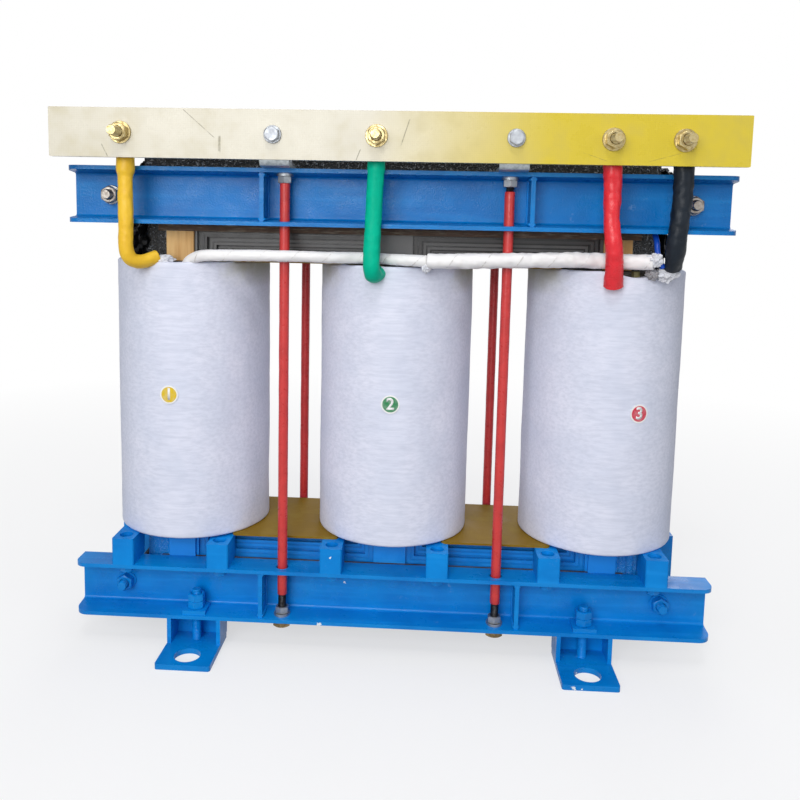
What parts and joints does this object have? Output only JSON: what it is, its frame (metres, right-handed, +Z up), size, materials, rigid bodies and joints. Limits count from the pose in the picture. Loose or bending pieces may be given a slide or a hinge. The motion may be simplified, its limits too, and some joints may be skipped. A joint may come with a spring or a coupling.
{
  "type": "dry type transformer",
  "caption": "Open-frame dry type transformer: wrapped coils on a stepped core between painted channel clamps with tie rods, a terminal board on top and bolt-down feet.",
  "frame": {"origin": "on the floor, midway between the four foot holes", "axes": "+X along the row of coils, +Y from the terminal side to the back, +Z up"},
  "size_m": [0.938, 0.3796, 0.784],
  "materials": {
    "blue_paint": "satin",
    "core_steel": "satin",
    "blue_block": "satin",
    "zinc_steel": "satin",
    "brass": "satin",
    "tinned_copper": "satin",
    "red_sleeve": "gloss",
    "coil_wrap": "matte",
    "inner_wrap": "matte",
    "duct_stick": "satin",
    "epoxy_sheet": "gloss",
    "pressboard": "matte",
    "batten_wood": "matte",
    "yellow_tube": "satin",
    "green_tube": "satin",
    "red_tube": "satin",
    "black_tube": "satin",
    "glass_sleeve": "matte"
  },
  "bodies": {
    "root": {"lower_clamp_front": "blue_paint", "lower_clamp_rear": "blue_paint", "upper_clamp_front": "blue_paint", "upper_clamp_rear": "blue_paint", "foot_front_left": "blue_paint", "foot_front_right": "blue_paint", "foot_rear_left": "blue_paint", "foot_rear_right": "blue_paint", "lower_cross_bolts": "blue_paint", "lower_cross_nuts": "blue_paint", "lower_cross_washers": "blue_paint", "core_frame": "blue_paint", "foot_studs": "blue_paint", "foot_nuts": "blue_paint", "foot_washers": "blue_paint", "block_screws": "blue_paint", "block_screw_nuts": "blue_paint", "upper_yoke": "core_steel", "support_blocks_a": "blue_block", "support_blocks_b": "blue_block", "support_blocks_c": "blue_block", "upper_cross_bolts": "zinc_steel", "upper_cross_nuts": "zinc_steel", "upper_cross_washers": "zinc_steel", "board_bolts": "zinc_steel", "board_bolt_nuts": "zinc_steel", "board_bolt_washers": "zinc_steel", "board_bracket_left": "zinc_steel", "board_bracket_right": "zinc_steel", "tie_rods": "zinc_steel", "rod_nuts": "zinc_steel", "rod_washers": "zinc_steel", "terminal_studs": "brass", "terminal_nuts": "brass", "terminal_washers": "brass", "lead_lugs": "tinned_copper", "rod_sleeves": "red_sleeve", "outer_winding_a": "coil_wrap", "outer_winding_b": "coil_wrap", "outer_winding_c": "coil_wrap", "inner_winding_a": "inner_wrap", "inner_winding_b": "inner_wrap", "inner_winding_c": "inner_wrap", "duct_sticks_a": "duct_stick", "duct_sticks_b": "duct_stick", "duct_sticks_c": "duct_stick", "terminal_board": "epoxy_sheet", "bottom_board_ab": "epoxy_sheet", "bottom_board_bc": "epoxy_sheet", "top_board_ab": "epoxy_sheet", "top_board_bc": "epoxy_sheet", "lower_yoke_insulation": "pressboard", "upper_yoke_insulation": "pressboard", "limb_battens": "batten_wood", "lead_yellow": "yellow_tube", "lead_green": "green_tube", "lead_red": "red_tube", "lead_black": "black_tube", "neutral_lead_a": "glass_sleeve", "neutral_lead_bc": "glass_sleeve"}
  },
  "joints": []
}
